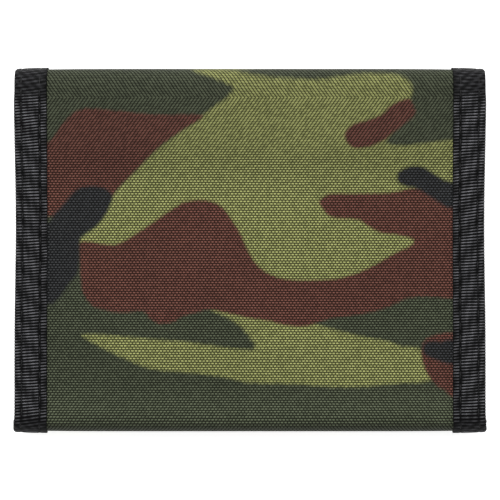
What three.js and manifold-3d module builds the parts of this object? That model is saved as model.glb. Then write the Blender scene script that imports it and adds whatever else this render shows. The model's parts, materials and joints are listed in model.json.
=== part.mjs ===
// Trifold wallet of sewn fabric, folded shut, lying with its centre panel up.
// Millimetres, +Z up. X runs along the folds and Y across them; the origin is on
// the ground under the middle of the wallet.
//
// The wallet is one long strip folded into a C: outer flap (on the ground), outer
// spine, centre panel (on top), inner spine, inner flap (tucked in between). Each
// of these five panels has its own local frame: x along the fold, y along the
// strip and z from the outside of the fabric inwards, with z = 0 in the middle of
// the shell's thickness, where the fold lines are.
import * as THREE from 'three';
import * as BufferGeometryUtils from 'three/addons/utils/BufferGeometryUtils.js';
import Module from 'manifold-3d';

// ---------------------------------------------------------------- sizes
const WIDTH = 120; // over the binding tapes, along the folds
const HEIGHT = 92; // over the two folds
const OUTER_FLAP_SHORTFALL = 2.2; // free edge stands back from the inner fold line
const INNER_FLAP_SHORTFALL = 28.2; // free edge stands back from the outer fold line

const SHELL = 0.8; // printed oxford cloth with its backing
const LINING = 0.5; // plain pack cloth
const TAPE = 0.4; // binding tape
const EASE = 0.1; // room between layers that are sewn together
const TAPE_COVER = 8.5; // how far a binding tape reaches over the cloth
const MITRE_GAP = 0.3; // room between panels at a fold, along the strip
const FOLD_EDGE = 0.15; // least distance from a fold line to a panel's cloth

const POCKET_CLOTH = 0.5; // card slots
const COIN_CLOTH = 0.6; // coin pocket
const CARD_POCKETS = 3;
const CARD_POCKET_STEP = 10; // stagger between card slot mouths
const CARD_MOUTH_START = 8; // fold line to the first mouth
const CARD_SIDE_ROOM = 1.3; // side tapes to the card slots
const CARD_LAYER_GAP = 0.15;
const THUMB_NOTCH_HALF = 11; // half the width of a mouth's thumb notch
const THUMB_NOTCH_DEPTH = 3;

const WINDOW_FILM = 0.3;
const WINDOW_FRAME = 0.7;
const WINDOW_MARGIN = 11; // fold lines to the frame
const WINDOW_SIDE_ROOM = 0.3; // side tapes to the frame
const WINDOW_BORDER = 8; // width of the frame's border
const WINDOW_FILM_INSET = 2; // frame's outer edge to the film's edge
const WINDOW_CORNER = 4;

const PATCH = 1.0; // hook or loop patch
const HOOK_LENGTH = 18; // across the wallet
const LOOP_LENGTH = 22;
const PATCH_SIDE_ROOM = 11.3; // side tapes to the hook patch
const PATCH_START = 12; // free edge of the outer flap to the hook patch
const PATCH_CORNER = 2;
const CLOSURE_GAP = 0.3; // hook patch to loop patch
const CONTENT_GAP = 0.55; // card slots to the window frame

const ZIP_SETBACK = 16.1; // outer fold line to the middle of the zip
const ZIP_SIDE_ROOM = 0.8; // side tapes to the ends of the zip and its pocket
const ZIP_TAPE = 0.4;
const ZIP_TAPE_REACH = 7; // middle of the zip to a tape's sewn edge
const ZIP_SLIT = 0.2; // middle of the zip to a tape's inner edge
const COIL_END_ROOM = 8.5; // ends of the zip tapes to the ends of the coil
const COIL_HEIGHT = 1.0;
const COIL_REACH = 1.5; // middle of the zip to the outside of a coil
const COIL_PITCH = 3.0;
const COIL_TOOTH = 0.6; // how far a tooth crosses the middle
const COIL_PLAY = 0.15; // room between the two rows
const STOP_LENGTH = 1.8;
const COIN_POCKET_ROOM = 3.4; // hook patch to the coin pocket
const COIN_TOP_STRIP = 10; // cloth above the zip, across the wallet

const SLIDER_LENGTH = 9;
const SLIDER_END_ROOM = 1.5; // closed slider to the end of the coil
const SLIDER_PLAY = 0.2; // room between the slider and the coils
const SLIDER_WALL = 1.2;
const SLIDER_TOP = 0.8;
const LUG_LENGTH = 3;
const LUG_WIDTH = 0.6;
const PULL_LENGTH = 16;
const PULL_WIDTH = 5;
const PULL_THICKNESS = 0.6;
const PULL_PIN_RADIUS = 0.45;
const PULL_PIN_LENGTH = 2.0;
const PULL_CLEAR = 0.15; // room under and beside the pull's pin
const PULL_SLOT_WIDTH = 2;
const PULL_SLOT_LENGTH = 5;

// ------------------------------------------------- depths through a panel
// All measured inwards from the outside face of the shell.
const LINING_OUT = SHELL + 2 * TAPE + 3 * EASE; // the bill compartment lies between
const LINING_IN = LINING_OUT + LINING;
const STACK_IN = LINING_IN + EASE + TAPE;
const STACK_OUT = -(EASE + TAPE);
const FITTINGS = LINING_IN + EASE; // where pockets and patches start
const HOOK_IN = FITTINGS + PATCH;
const LOOP_OUT = -(EASE + PATCH);
const CARDS_IN = FITTINGS + CARD_POCKETS * (POCKET_CLOTH + CARD_LAYER_GAP);
const FILM_IN = FITTINGS + WINDOW_FILM;
const FRAME_OUT = FILM_IN + EASE;
const FRAME_IN = FRAME_OUT + WINDOW_FRAME;
const NEUTRAL = SHELL / 2; // depth of the fold lines

// ------------------------------------------------------ heights and folds
const OUTER_FLAP_FACE = -STACK_OUT;
const INNER_FLAP_FACE = OUTER_FLAP_FACE + HOOK_IN + CLOSURE_GAP - LOOP_OUT;
const CENTRE_FACE = INNER_FLAP_FACE + CARDS_IN + CONTENT_GAP + FRAME_IN;
const FOLD_Y = HEIGHT / 2 + STACK_OUT - NEUTRAL;
const PANEL_LENGTH = 2 * FOLD_Y; // fold line to fold line on the centre panel
const OUTER_FLAP_LENGTH = PANEL_LENGTH - OUTER_FLAP_SHORTFALL;
const INNER_FLAP_LENGTH = PANEL_LENGTH - INNER_FLAP_SHORTFALL;
const OUTER_FOLD_LOW = OUTER_FLAP_FACE + NEUTRAL;
const INNER_FOLD_LOW = INNER_FLAP_FACE + NEUTRAL;
const FOLD_HIGH = CENTRE_FACE - NEUTRAL;
const OUTER_SPINE_LENGTH = FOLD_HIGH - OUTER_FOLD_LOW;
const INNER_SPINE_LENGTH = FOLD_HIGH - INNER_FOLD_LOW;

const HALF_WIDTH = WIDTH / 2;
const CLOTH_HALF = HALF_WIDTH - TAPE - EASE; // cloth stops inside the tape's bend
const TAPE_EDGE = HALF_WIDTH - TAPE_COVER;
const BETWEEN_TAPES = TAPE_EDGE - 2 * EASE;
const CARD_HALF = BETWEEN_TAPES - CARD_SIDE_ROOM;
const WINDOW_HALF = BETWEEN_TAPES - WINDOW_SIDE_ROOM;
const PATCH_HALF = BETWEEN_TAPES - PATCH_SIDE_ROOM;
const ZIP_HALF = BETWEEN_TAPES - ZIP_SIDE_ROOM;
const COIL_HALF = ZIP_HALF - COIL_END_ROOM;
const SLIDER_PARK = COIL_HALF - SLIDER_END_ROOM - SLIDER_LENGTH / 2;

// ---------------------------------------------------------------- materials
const finish = (color, roughness, metalness = 0, opacity = 1) => ({ color, roughness, metalness, opacity });
const SHELL_FINISH = finish(0x5b6337, 0.85);
const LINING_FINISH = finish(0x17181a, 0.85);
const TAPE_FINISH = finish(0x1b1b1e, 0.8);
const HOOK_FINISH = finish(0x131314, 0.7);
const FILM_FINISH = finish(0xd9dde0, 0.15, 0, 0.35);
const COIL_FINISH = finish(0x1a1a1c, 0.45);
const METAL_FINISH = finish(0x2a2b2d, 0.4, 0.8);

function paint({ color, roughness, metalness, opacity }) {
  return new THREE.MeshStandardMaterial({ color, roughness, metalness, opacity, transparent: opacity < 1 });
}

// ---------------------------------------------------------------- solids
const wasm = await Module();
wasm.setup();

function solidOf(geometry) {
  const bare = geometry.clone();
  bare.deleteAttribute('normal');
  bare.deleteAttribute('uv');
  const merged = BufferGeometryUtils.mergeVertices(bare, 1e-5);
  const vertProperties = new Float32Array(merged.attributes.position.array);
  const triVerts = new Uint32Array(merged.index.array);
  return new wasm.Manifold(new wasm.Mesh({ numProp: 3, vertProperties, triVerts }));
}

function geometryOf(solid) {
  const mesh = solid.getMesh();
  const geometry = new THREE.BufferGeometry();
  geometry.setAttribute('position', new THREE.BufferAttribute(new Float32Array(mesh.vertProperties), 3));
  geometry.setIndex(new THREE.BufferAttribute(new Uint32Array(mesh.triVerts), 1));
  return geometry;
}

function join(geometries) {
  return geometryOf(geometries.map(solidOf).reduce((sum, next) => sum.add(next)));
}

function outline(points) {
  return new THREE.Shape(points.map(([u, v]) => new THREE.Vector2(u, v)));
}

function extrude(shape, depth) {
  return new THREE.ExtrudeGeometry(shape, { depth, bevelEnabled: false, curveSegments: 8 });
}

// A slab: an outline in the panel's plane, between two depths below the shell's face.
function slab(shape, depthOut, depthIn) {
  return extrude(shape, depthIn - depthOut).translate(0, 0, depthOut - NEUTRAL);
}

// A bar: an outline in (y, z) carried along x, centred on x = 0.
function bar(shape, length) {
  const turn = new THREE.Matrix4().set(0, 0, 1, -length / 2, 1, 0, 0, 0, 0, 1, 0, 0, 0, 0, 0, 1);
  return extrude(shape, length).applyMatrix4(turn);
}

// A run: an outline in (x, z) carried along y from y0 to y1.
function run(shape, y0, y1) {
  return extrude(shape, y1 - y0).rotateX(Math.PI / 2).translate(0, y1, 0);
}

function roundedRect(x0, y0, x1, y1, radius) {
  const shape = new THREE.Shape();
  shape.moveTo(x0 + radius, y0);
  shape.lineTo(x1 - radius, y0);
  shape.absarc(x1 - radius, y0 + radius, radius, -Math.PI / 2, 0, false);
  shape.lineTo(x1, y1 - radius);
  shape.absarc(x1 - radius, y1 - radius, radius, 0, Math.PI / 2, false);
  shape.lineTo(x0 + radius, y1);
  shape.absarc(x0 + radius, y1 - radius, radius, Math.PI / 2, Math.PI, false);
  shape.lineTo(x0, y0 + radius);
  shape.absarc(x0 + radius, y0 + radius, radius, Math.PI, 1.5 * Math.PI, false);
  return shape;
}

const rect = (x0, y0, x1, y1) => outline([[x0, y0], [x1, y0], [x1, y1], [x0, y1]]);

// ---------------------------------------------------------------- panels
// foldStart and foldEnd say which ends of the panel are folds; the others are free.
const PANELS = {
  outer_flap: { length: OUTER_FLAP_LENGTH, foldStart: false, foldEnd: true },
  outer_spine: { length: OUTER_SPINE_LENGTH, foldStart: true, foldEnd: true },
  centre: { length: PANEL_LENGTH, foldStart: true, foldEnd: true },
  inner_spine: { length: INNER_SPINE_LENGTH, foldStart: true, foldEnd: true },
  inner_flap: { length: INNER_FLAP_LENGTH, foldStart: true, foldEnd: false },
};

// What the folds leave of a panel: its inner layers end further from the fold line.
function foldLimits({ length, foldStart, foldEnd }) {
  const top = STACK_IN - NEUTRAL + EASE;
  const bottom = STACK_OUT - NEUTRAL - EASE;
  const kink = FOLD_EDGE - MITRE_GAP;
  const start = foldStart ? [[top + MITRE_GAP, top], [FOLD_EDGE, kink], [FOLD_EDGE, bottom]] : [[0, top], [0, bottom]];
  const end = foldEnd
    ? [[length - FOLD_EDGE, bottom], [length - FOLD_EDGE, kink], [length - top - MITRE_GAP, top]]
    : [[length, bottom], [length, top]];
  return bar(outline([...start, ...end]), WIDTH + 2);
}

function mitred(geometry, panel) {
  return geometryOf(solidOf(geometry).intersect(solidOf(foldLimits(panel))));
}

function clothLayer(panel, depthOut, depthIn) {
  const free = EASE + TAPE;
  const y0 = panel.foldStart ? 0 : free;
  const y1 = panel.foldEnd ? panel.length : panel.length - free;
  return mitred(slab(rect(-CLOTH_HALF, y0, CLOTH_HALF, y1), depthOut, depthIn), panel);
}

// A folded tape in section: two legs over the cloth and the bend round its edge.
function tapeSection(edge, inward, depthOut, depthIn) {
  const out = depthOut - EASE - TAPE - NEUTRAL;
  const back = depthIn + EASE + TAPE - NEUTRAL;
  const tip = edge + inward * TAPE_COVER;
  const web = edge + inward * TAPE;
  return outline([
    [edge, out], [tip, out], [tip, out + TAPE], [web, out + TAPE],
    [web, back - TAPE], [tip, back - TAPE], [tip, back], [edge, back],
  ]);
}

function sideTape(panel, side, depthOut, depthIn) {
  const section = tapeSection(side * HALF_WIDTH, -side, depthOut, depthIn);
  return mitred(run(section, 0, panel.length), panel);
}

// The tape over a flap's free edge, between the two side tapes.
function endTape(edge, inward) {
  return bar(tapeSection(edge, inward, 0, LINING_IN), 2 * BETWEEN_TAPES);
}

// ---------------------------------------------------------------- fittings
function hookPatch() {
  const shape = roundedRect(-PATCH_HALF, PATCH_START, PATCH_HALF, PATCH_START + HOOK_LENGTH, PATCH_CORNER);
  return slab(shape, FITTINGS, HOOK_IN);
}

// The loop patch faces the hook patch, with the same margin all round.
function loopPatch() {
  const facing = PATCH_START + OUTER_FLAP_SHORTFALL + HOOK_LENGTH / 2;
  const y0 = facing - LOOP_LENGTH / 2;
  const half = PATCH_HALF + (LOOP_LENGTH - HOOK_LENGTH) / 2;
  return slab(roundedRect(-half, y0, half, y0 + LOOP_LENGTH, PATCH_CORNER), LOOP_OUT, -EASE);
}

// A card slot: its mouth has a shallow thumb notch, and it is sewn down further along.
function cardPocket(index) {
  const y0 = CARD_MOUTH_START + index * CARD_POCKET_STEP;
  const y1 = INNER_FLAP_LENGTH - TAPE_COVER - 2 * EASE;
  const shape = new THREE.Shape();
  shape.moveTo(-CARD_HALF, y0);
  shape.lineTo(-THUMB_NOTCH_HALF, y0);
  shape.quadraticCurveTo(0, y0 + 2 * THUMB_NOTCH_DEPTH, THUMB_NOTCH_HALF, y0);
  shape.lineTo(CARD_HALF, y0);
  shape.lineTo(CARD_HALF, y1);
  shape.lineTo(-CARD_HALF, y1);
  shape.closePath();
  const out = FITTINGS + index * (POCKET_CLOTH + CARD_LAYER_GAP);
  return slab(shape, out, out + POCKET_CLOTH);
}

function windowFilm() {
  const half = WINDOW_HALF - WINDOW_FILM_INSET;
  const y0 = WINDOW_MARGIN + WINDOW_FILM_INSET;
  return slab(rect(-half, y0, half, PANEL_LENGTH - y0), FITTINGS, FILM_IN);
}

function windowFrame() {
  const half = WINDOW_HALF;
  const y0 = WINDOW_MARGIN;
  const y1 = PANEL_LENGTH - WINDOW_MARGIN;
  const b = WINDOW_BORDER;
  const shape = roundedRect(-half, y0, half, y1, 1);
  shape.holes.push(roundedRect(-half + b, y0 + b, half - b, y1 - b, WINDOW_CORNER));
  return slab(shape, FRAME_OUT, FRAME_IN);
}

const ZIP_Y = OUTER_FLAP_LENGTH - ZIP_SETBACK;
const COIN_IN = FITTINGS + COIN_CLOTH;
const ZIP_TAPE_OUT = COIN_IN + EASE;
const ZIP_TAPE_IN = ZIP_TAPE_OUT + ZIP_TAPE;
const COIL_OUT = ZIP_TAPE_IN + EASE;
const COIL_IN = COIL_OUT + COIL_HEIGHT;

function coinPocketFront() {
  const y0 = PATCH_START + HOOK_LENGTH + COIN_POCKET_ROOM;
  return slab(rect(-ZIP_HALF, y0, ZIP_HALF, ZIP_Y - COIL_REACH), FITTINGS, COIN_IN);
}

function coinPocketTop() {
  const y0 = ZIP_Y + COIL_REACH;
  return slab(rect(-ZIP_HALF, y0, ZIP_HALF, y0 + COIN_TOP_STRIP), FITTINGS, COIN_IN);
}

function zipTape(side) {
  const ys = [ZIP_Y + side * ZIP_SLIT, ZIP_Y + side * ZIP_TAPE_REACH].sort((a, b) => a - b);
  return slab(rect(-ZIP_HALF, ys[0], ZIP_HALF, ys[1]), ZIP_TAPE_OUT, ZIP_TAPE_IN);
}

// One row of the zip's coil: square teeth that cross the middle between the other row's.
function zipCoil(side) {
  const points = [[-COIL_HALF, COIL_REACH], [COIL_HALF, COIL_REACH]];
  const root = COIL_TOOTH + COIL_PLAY;
  const count = Math.floor(2 * COIL_HALF / COIL_PITCH);
  const shift = side > 0 ? 0 : COIL_PITCH / 2;
  const tooth = COIL_PITCH / 2 - COIL_PLAY;
  const last = COIL_HALF - shift;
  points.push([COIL_HALF, root]);
  for (let i = 0; i < count - 1; i += 1) {
    const x1 = last - i * COIL_PITCH - COIL_PLAY;
    points.push([x1, root], [x1, -COIL_TOOTH], [x1 - tooth, -COIL_TOOTH], [x1 - tooth, root]);
  }
  points.push([-COIL_HALF, root]);
  const placed = points.map(([x, y]) => [x, ZIP_Y + side * y]);
  return slab(outline(side > 0 ? placed.reverse() : placed), COIL_OUT, COIL_IN);
}

function zipStop(side) {
  const x0 = side * (COIL_HALF + SLIDER_PLAY);
  const x1 = x0 + side * STOP_LENGTH;
  const xs = [x0, x1].sort((a, b) => a - b);
  return slab(rect(xs[0], ZIP_Y - COIL_REACH, xs[1], ZIP_Y + COIL_REACH), COIL_OUT, COIL_IN);
}

const SLIDER_ROOF = COIL_IN + SLIDER_PLAY;
const SLIDER_CROWN = SLIDER_ROOF + SLIDER_TOP;
const PIN_DEPTH = SLIDER_CROWN + PULL_CLEAR + PULL_PIN_RADIUS;
const LUG_INNER = PULL_PIN_LENGTH / 2 + PULL_CLEAR;

// The slider straddles the coils, with two lugs on its back for the pull.
function slider() {
  const inner = COIL_REACH + SLIDER_PLAY;
  const outer = inner + SLIDER_WALL;
  const level = (depth) => depth - NEUTRAL;
  const section = outline([
    [-outer, level(COIL_OUT)], [-inner, level(COIL_OUT)], [-inner, level(SLIDER_ROOF)], [inner, level(SLIDER_ROOF)],
    [inner, level(COIL_OUT)], [outer, level(COIL_OUT)], [outer, level(SLIDER_CROWN)], [-outer, level(SLIDER_CROWN)],
  ]);
  const lugHeight = PIN_DEPTH + PULL_PIN_RADIUS;
  const lug = (side) => {
    const y0 = side * (LUG_INNER + LUG_WIDTH / 2);
    const box = new THREE.BoxGeometry(LUG_LENGTH, LUG_WIDTH, lugHeight - SLIDER_ROOF);
    return box.translate(0, y0, level((lugHeight + SLIDER_ROOF) / 2));
  };
  const body = join([bar(section, SLIDER_LENGTH), lug(-1), lug(1)]);
  return body.translate(SLIDER_PARK, ZIP_Y, 0);
}

// The pull: a pin between the lugs and a slotted tab that lies along the zip.
function zipPull() {
  const pin = new THREE.CylinderGeometry(PULL_PIN_RADIUS, PULL_PIN_RADIUS, PULL_PIN_LENGTH, 16);
  const half = PULL_THICKNESS / 2;
  const neck = new THREE.BoxGeometry(LUG_LENGTH, PULL_PIN_LENGTH, PULL_THICKNESS).translate(-LUG_LENGTH / 2, 0, 0);
  const x1 = -LUG_LENGTH / 2 - 2 * PULL_CLEAR;
  const tab = roundedRect(-PULL_LENGTH, -PULL_WIDTH / 2, x1, PULL_WIDTH / 2, PULL_WIDTH / 4);
  const slotX = -PULL_LENGTH + PULL_WIDTH / 2;
  const w = PULL_SLOT_WIDTH / 2;
  tab.holes.push(roundedRect(slotX, -w, slotX + PULL_SLOT_LENGTH, w, w * 0.9));
  const plate = extrude(tab, PULL_THICKNESS).translate(0, 0, -half);
  return join([pin, neck, plate]).translate(SLIDER_PARK, ZIP_Y, PIN_DEPTH - NEUTRAL);
}

// ---------------------------------------------------------------- assembly
const wallet = new THREE.Group();
wallet.name = 'trifold_wallet';

function addMesh(group, name, geometry, look) {
  const mesh = new THREE.Mesh(geometry, paint(look));
  mesh.name = name;
  group.add(mesh);
}

// The cloth, the lining and the tapes that every panel has. The left tape closes the
// bill compartment; on the right the shell and the lining are bound one by one.
function addStrip(group, name) {
  const panel = PANELS[name];
  addMesh(group, `${name}_shell`, clothLayer(panel, 0, SHELL), SHELL_FINISH);
  addMesh(group, `${name}_lining`, clothLayer(panel, LINING_OUT, LINING_IN), LINING_FINISH);
  addMesh(group, `${name}_binding_left`, sideTape(panel, -1, 0, LINING_IN), TAPE_FINISH);
  addMesh(group, `${name}_shell_binding_right`, sideTape(panel, 1, 0, SHELL), TAPE_FINISH);
  addMesh(group, `${name}_lining_binding_right`, sideTape(panel, 1, LINING_OUT, LINING_IN), TAPE_FINISH);
}

function addPanel(name, quarterTurns, y, z) {
  const group = new THREE.Group();
  group.position.set(0, y, z);
  group.rotation.x = quarterTurns * Math.PI / 2;
  addStrip(group, name);
  wallet.add(group);
  return group;
}

const outerFlap = addPanel('outer_flap', 0, FOLD_Y - OUTER_FLAP_LENGTH, OUTER_FOLD_LOW);
addMesh(outerFlap, 'outer_flap_end_binding', endTape(0, 1), TAPE_FINISH);
addMesh(outerFlap, 'hook_patch', hookPatch(), HOOK_FINISH);
addMesh(outerFlap, 'coin_pocket_front', coinPocketFront(), LINING_FINISH);
addMesh(outerFlap, 'coin_pocket_top_strip', coinPocketTop(), LINING_FINISH);
addMesh(outerFlap, 'zip_tape_lower', zipTape(-1), TAPE_FINISH);
addMesh(outerFlap, 'zip_tape_upper', zipTape(1), TAPE_FINISH);
addMesh(outerFlap, 'zip_coil_lower', zipCoil(-1), COIL_FINISH);
addMesh(outerFlap, 'zip_coil_upper', zipCoil(1), COIL_FINISH);
addMesh(outerFlap, 'zip_stop_left', zipStop(-1), METAL_FINISH);
addMesh(outerFlap, 'zip_stop_right', zipStop(1), METAL_FINISH);
addMesh(outerFlap, 'zip_slider', slider(), METAL_FINISH);
addMesh(outerFlap, 'zip_pull', zipPull(), METAL_FINISH);

addPanel('outer_spine', 1, FOLD_Y, OUTER_FOLD_LOW);

const centre = addPanel('centre', 2, FOLD_Y, FOLD_HIGH);
addMesh(centre, 'id_window_film', windowFilm(), FILM_FINISH);
addMesh(centre, 'id_window_frame', windowFrame(), LINING_FINISH);

addPanel('inner_spine', 3, -FOLD_Y, FOLD_HIGH);

const innerFlap = addPanel('inner_flap', 4, -FOLD_Y, INNER_FOLD_LOW);
addMesh(innerFlap, 'inner_flap_end_binding', endTape(INNER_FLAP_LENGTH, -1), TAPE_FINISH);
addMesh(innerFlap, 'loop_patch', loopPatch(), HOOK_FINISH);
for (let index = 0; index < CARD_POCKETS; index += 1) {
  addMesh(innerFlap, `card_pocket_${index + 1}`, cardPocket(index), LINING_FINISH);
}

export default wallet;
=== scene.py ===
"""A trifold wallet of printed camouflage cloth with ribbed binding tapes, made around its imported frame.

The wallet is one long strip folded into a C. Its layers follow a path with rounded
folds: s runs along the strip, x along the folds and depth from the shell's outside
face inwards. Lengths inside the shape functions are in millimetres.
"""

import json
import math

import bpy
import numpy as np
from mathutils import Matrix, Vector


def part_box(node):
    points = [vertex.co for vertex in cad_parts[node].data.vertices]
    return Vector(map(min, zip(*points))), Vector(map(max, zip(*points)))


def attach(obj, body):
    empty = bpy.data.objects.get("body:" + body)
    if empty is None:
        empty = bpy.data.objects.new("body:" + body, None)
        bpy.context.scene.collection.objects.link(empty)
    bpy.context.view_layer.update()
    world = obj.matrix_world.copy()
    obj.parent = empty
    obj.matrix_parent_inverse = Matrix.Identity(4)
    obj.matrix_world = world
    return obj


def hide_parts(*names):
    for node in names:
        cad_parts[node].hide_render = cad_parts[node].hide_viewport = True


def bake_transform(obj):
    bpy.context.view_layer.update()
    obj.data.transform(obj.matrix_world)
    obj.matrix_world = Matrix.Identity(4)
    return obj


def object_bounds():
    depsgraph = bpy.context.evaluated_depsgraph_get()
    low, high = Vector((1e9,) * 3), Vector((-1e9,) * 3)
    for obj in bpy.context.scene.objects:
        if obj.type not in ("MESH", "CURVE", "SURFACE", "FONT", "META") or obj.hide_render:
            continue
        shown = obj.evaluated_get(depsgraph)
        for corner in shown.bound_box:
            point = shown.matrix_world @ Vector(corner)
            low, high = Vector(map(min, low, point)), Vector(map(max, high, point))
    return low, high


bl_info = {
    "name": "Trifold Wallet",
    "version": (1, 0, 0),
    "blender": (4, 5, 0),
    "location": "View3D > Sidebar > Wallet",
    "description": "Builds a folded camouflage wallet around its frame",
    "category": "Add Mesh",
}

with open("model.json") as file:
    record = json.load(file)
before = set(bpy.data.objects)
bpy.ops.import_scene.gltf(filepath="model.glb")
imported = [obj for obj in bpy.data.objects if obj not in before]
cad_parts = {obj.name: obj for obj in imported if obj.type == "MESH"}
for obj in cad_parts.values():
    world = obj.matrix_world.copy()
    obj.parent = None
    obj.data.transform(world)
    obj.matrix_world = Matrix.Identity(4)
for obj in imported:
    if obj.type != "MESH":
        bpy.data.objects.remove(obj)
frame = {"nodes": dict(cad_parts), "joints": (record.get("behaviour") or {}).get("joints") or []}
CAD_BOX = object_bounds()
MM = 0.001


# ------------------------------------------------------------ frame readings
def node_box(node):
    """Lowest and highest corner of a frame node, in millimetres."""
    low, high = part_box(node)
    return np.array(low) / MM, np.array(high) / MM


FOLDS = ["outer_fold_lower", "outer_fold_upper", "inner_fold_upper", "inner_fold_lower"]
FOLD_AT = [
    np.array(next(j["pos_m"] for j in frame["joints"] if j["name"] == f))[1:] / MM
    for f in FOLDS
]
PANELS = ["outer_flap", "outer_spine", "centre", "inner_spine", "inner_flap"]
HALF_WIDTH = node_box("centre_binding_left")[0][0] * -1
TAPE_COVER = node_box("centre_binding_left")[1][0] + HALF_WIDTH
NEUTRAL = 0.4
SHELL_IN = 0.8
LINING_OUT, LINING_IN = 1.9, 2.4
TAPE_OUT, TAPE_IN = -0.5, 2.9
TAPE = 0.4
FOLD_RADIUS = [4.0, 4.0, 3.4, 3.4]
PATH_STEPS = 40000
STITCH_ROWS = (1.9, 6.6)  # outer edge of a tape to its two seams
# Painted shade in the seams' grooves: the next value sets how much each seam darkens the ribs that it crosses.
SEAM_PAINTED_SHADE = (0.6, 1.0)  # how much each seam darkens the ribs that it crosses
RIB_SHEAR = 0.09  # share of a rib's pitch by which a side tape's ribs slant per millimetre of its width
CALM_REACH = (1.35, 2.0, 1.05, 1.05)  # how far the ribs are flattened round each fold, in half arcs
RIB = 0.75
TAPE_STEP = 0.15  # spacing of a tape's stations
TAPE_BEND = 0.75  # radius of a tape's two corners
PUSH_SIDEWAYS = 0.6  # share of a tape's relief that shows round its outer edge
EDGE_FADE = 0.35  # a tape's relief dies within this distance of its sewn edge
EDGE_TUCK = 0.1  # the tapes lie this far inside the wallet's full width
END_ROOM = 0.9  # the cloth stops this far inside a flap's free edge
SPINE_BULGE = {0: 0.6, 2: 0.55}  # how far the cloth of the outer and the inner spine stands out
FACE_HALF = (58.5, 45.5)  # where the centre panel's dome ends
DOME, RIPPLE = 0.75, 0.13
PATCH_CORNER = 2.0
FLOOR_DROP = 0.3  # room for the relief of the tapes that lie lowest
VIEW_WIDTH = 126.3
LIGHTS = (  # name, place in metres, size in metres, watts
    ("key", (-0.15, 0.65, 0.8), 0.5, 9.0),
    ("fill", (0.35, 0.1, 0.95), 0.6, 2.0),
)
THREAD_RADIUS, STITCH_HALF = 0.21, 1.15
THREAD_SINK = 0.15  # a stitch's middle lies this far below its cloth's face


# ------------------------------------------------------------- the strip path
def strip_table():
    """The neutral line: straight runs joined by quarter circles, as (s, y, z, heading) in fine steps.

    The heading turns evenly along each quarter circle and not at all between them, and
    y and z are the running sums of its cosine and sine.
    """
    start = np.array([node_box("outer_flap_shell")[0][1], FOLD_AT[0][1]])
    end = np.array([node_box("inner_flap_shell")[1][1], FOLD_AT[3][1]])
    corners = [start, *FOLD_AT, end]
    legs = [np.linalg.norm(b - a) for a, b in zip(corners, corners[1:])]
    marks, headings, arcs = [0.0], [0.0], []
    used = 0.0
    for k, radius in enumerate(FOLD_RADIUS):
        a = marks[-1] + legs[k] - used - radius
        b = a + radius * math.pi / 2
        arcs.append((a, b))
        marks += [a, b]
        headings += [k * math.pi / 2, (k + 1) * math.pi / 2]
        used = radius
    marks.append(marks[-1] + legs[-1] - used)
    headings.append(headings[-1])
    s = np.linspace(0, marks[-1], PATH_STEPS + 1)
    turn = np.interp(s, marks, headings)
    step = s[1] - s[0]
    mid = (turn[1:] + turn[:-1]) / 2
    y = start[0] + np.concatenate([[0], np.cumsum(np.cos(mid))]) * step
    z = start[1] + np.concatenate([[0], np.cumsum(np.sin(mid))]) * step
    return s, y, z, turn, arcs


S_TABLE, Y_TABLE, Z_TABLE, TURN_TABLE, ARCS = strip_table()
S_END = S_TABLE[-1]
MIDDLES = [(ARCS[k][1] + ARCS[k + 1][0]) / 2 for k in range(3)]
PARTS = list(zip([0.0, *MIDDLES], [*MIDDLES, S_END]))


def smooth(t):
    """0 below 0, 1 above 1 and an even S-curve between."""
    t = np.clip(t, 0, 1)
    return t * t * (3 - 2 * t)


def lift(x, y):
    """How far the centre panel stands proud: a flat-topped dome that dies at its edges, with slow ripples."""
    u, v = (np.clip(np.abs(at) / half, 0, 1) for at, half in zip((x, y), FACE_HALF))
    dome = (1 - u**4) * (1 - v**4)
    ripple = np.sin(x / 9 + 1.3) * np.sin(y / 12 + 0.4) + 0.7 * np.sin(x / 15 - y / 8)
    return dome * (DOME + RIPPLE * ripple)


def place(x, s, depth):
    """Points of the strip in metres.

    On the path at s, then depth inwards along its normal. The spines bulge in an S-curve up
    to their middle, less at the tapes, and the centre panel has its dome on top.
    """
    x, s, depth = np.broadcast_arrays(x, s, depth)
    y, z = np.interp(s, S_TABLE, Y_TABLE), np.interp(s, S_TABLE, Z_TABLE)
    turn = np.interp(s, S_TABLE, TURN_TABLE)
    reach = depth - NEUTRAL
    on_top = (s > MIDDLES[0]) & (s < MIDDLES[2])
    y, z = y - np.sin(turn) * reach, z + np.cos(turn) * reach
    for k in (0, 2):
        half = (ARCS[k + 1][1] - ARCS[k][0]) / 2
        fullness = SPINE_BULGE[k] * (1 - 0.75 * np.clip(np.abs(x) / HALF_WIDTH, 0, 1) ** 8)
        y = y + (1 - k) * fullness * smooth(1 - np.abs(s - MIDDLES[k]) / half)
    z = z + np.where(on_top, lift(x, y), 0)
    return np.stack([x, y, z], -1) * MM


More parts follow.
